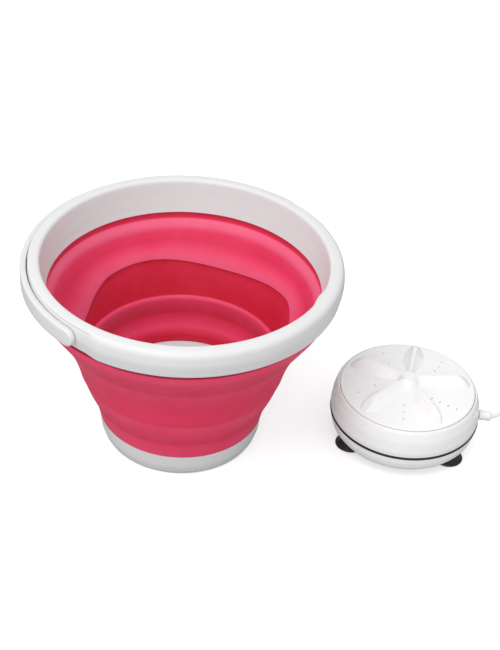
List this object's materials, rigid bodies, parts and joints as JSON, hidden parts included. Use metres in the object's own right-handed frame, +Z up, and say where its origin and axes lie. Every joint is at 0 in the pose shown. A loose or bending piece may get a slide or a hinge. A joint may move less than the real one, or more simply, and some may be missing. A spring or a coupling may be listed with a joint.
{
  "type": "portable folding washing tub with turbine unit",
  "caption": "Round folding tub with stiff rim, stepped soft wall and swing handle, beside a low round turbine unit with finned impeller, suction feet and cable.",
  "frame": {"origin": "on the floor, at the centre of the set's footprint", "axes": "+Z up, +X from the tub towards the turbine unit, +Y away from the front"},
  "size_m": [0.6438, 0.326, 0.2202],
  "materials": {
    "tub_white": "smooth moulded, slight sheen",
    "soft_wall": "soft satin elastomer, crimson pink",
    "unit_white": "smooth glossy white",
    "black_rubber": "matt black rubber",
    "steel": "plain turned or pressed steel",
    "brass": "plain turned brass",
    "gear_plastic": "natural moulded gear plastic",
    "board": "green circuit board laminate",
    "button_grey": "pale grey moulded button",
    "cable_white": "smooth white cable sleeve"
  },
  "bodies": {
    "tub_base": {"base_dish": "tub_white", "wall_web_foot": "soft_wall"},
    "tub_band_low": {"wall_band_low": "soft_wall", "wall_web_low": "soft_wall"},
    "tub_band_mid": {"wall_band_mid": "soft_wall", "wall_web_mid": "soft_wall"},
    "tub_band_high": {"wall_band_high": "soft_wall", "wall_web_rim": "soft_wall"},
    "tub_rim": {"rim_ring": "tub_white", "bail_pin_front": "steel", "bail_pin_back": "steel"},
    "bail": {"bail_handle": "tub_white"},
    "turbine_unit": {"unit_shell_lower": "unit_white", "unit_gasket": "black_rubber", "unit_shell_upper": "unit_white", "suction_cup_1": "black_rubber", "suction_cup_2": "black_rubber", "suction_cup_3": "black_rubber", "shell_screw_1": "steel", "shell_screw_2": "steel", "shell_screw_3": "steel", "shaft_bush": "brass", "shaft_seal": "black_rubber", "motor_can": "steel", "gear_plate": "steel", "control_board": "board", "cable_grommet": "cable_white", "cable_unit_side": "cable_white", "cable_plug_side": "cable_white", "switch_case_lower": "unit_white", "switch_case_upper": "unit_white", "plug_grip": "unit_white", "plug_shell": "steel", "plug_tongue": "black_rubber"},
    "impeller": {"impeller_disc": "unit_white", "impeller_hub_cap": "unit_white", "drive_shaft": "steel", "drive_gear": "gear_plastic"},
    "motor_rotor": {"motor_shaft": "steel", "motor_pinion": "brass"},
    "button": {"switch_button": "button_grey"}
  },
  "joints": [
    {"name": "tub_fold", "type": "slide", "parent": "tub_band_low", "child": "tub_band_mid", "axis": [0, 0, -1], "range_m": [0, 0.06], "stiffness_N_per_m": 150, "springref_m": -0.2, "deforming": ["wall_web_low"]},
    {"name": "tub_fold_foot", "type": "slide", "parent": "tub_base", "child": "tub_band_low", "axis": [0, 0, -1], "range_m": [0, 0.0281], "stiffness_N_per_m": 150, "springref_m": -0.2, "deforming": ["wall_web_foot"]},
    {"name": "tub_fold_upper", "type": "slide", "parent": "tub_band_mid", "child": "tub_band_high", "axis": [0, 0, -1], "range_m": [0, 0.0301], "stiffness_N_per_m": 150, "springref_m": -0.2, "deforming": ["wall_web_mid"]},
    {"name": "tub_fold_rim", "type": "slide", "parent": "tub_band_high", "child": "tub_rim", "axis": [0, 0, -1], "range_m": [0, 0.0321], "stiffness_N_per_m": 150, "springref_m": -0.2, "deforming": ["wall_web_rim"]},
    {"name": "bail_swing", "type": "hinge", "parent": "tub_rim", "child": "bail", "pos_m": [-0.15708, -0.00182, 0.206], "axis": [0.6756, 0.7373, 0], "range_deg": [0, 135]},
    {"name": "unit_lift", "type": "slide", "parent": "tub_base", "child": "turbine_unit", "axis": [0, 0, 1], "range_m": [0, 0.3]},
    {"name": "impeller_spin", "type": "hinge", "parent": "turbine_unit", "child": "impeller", "pos_m": [0.08552, -0.00682, 0.0604], "axis": [0, 0, 1], "continuous": true},
    {"name": "motor_spin", "type": "hinge", "parent": "turbine_unit", "child": "motor_rotor", "pos_m": [0.05142, -0.00682, 0.045], "axis": [0, 0, 1], "continuous": true},
    {"name": "switch_press", "type": "slide", "parent": "turbine_unit", "child": "button", "axis": [0, 0, -1], "range_m": [0, 0.0015], "stiffness_N_per_m": 400}
  ],
  "couplings": [
    {"joint": "tub_fold_foot", "follows": "tub_fold", "ratio": 0.46667},
    {"joint": "tub_fold_upper", "follows": "tub_fold", "ratio": 0.5},
    {"joint": "tub_fold_rim", "follows": "tub_fold", "ratio": 0.53333},
    {"joint": "motor_spin", "follows": "impeller_spin", "ratio": -2.8571}
  ]
}
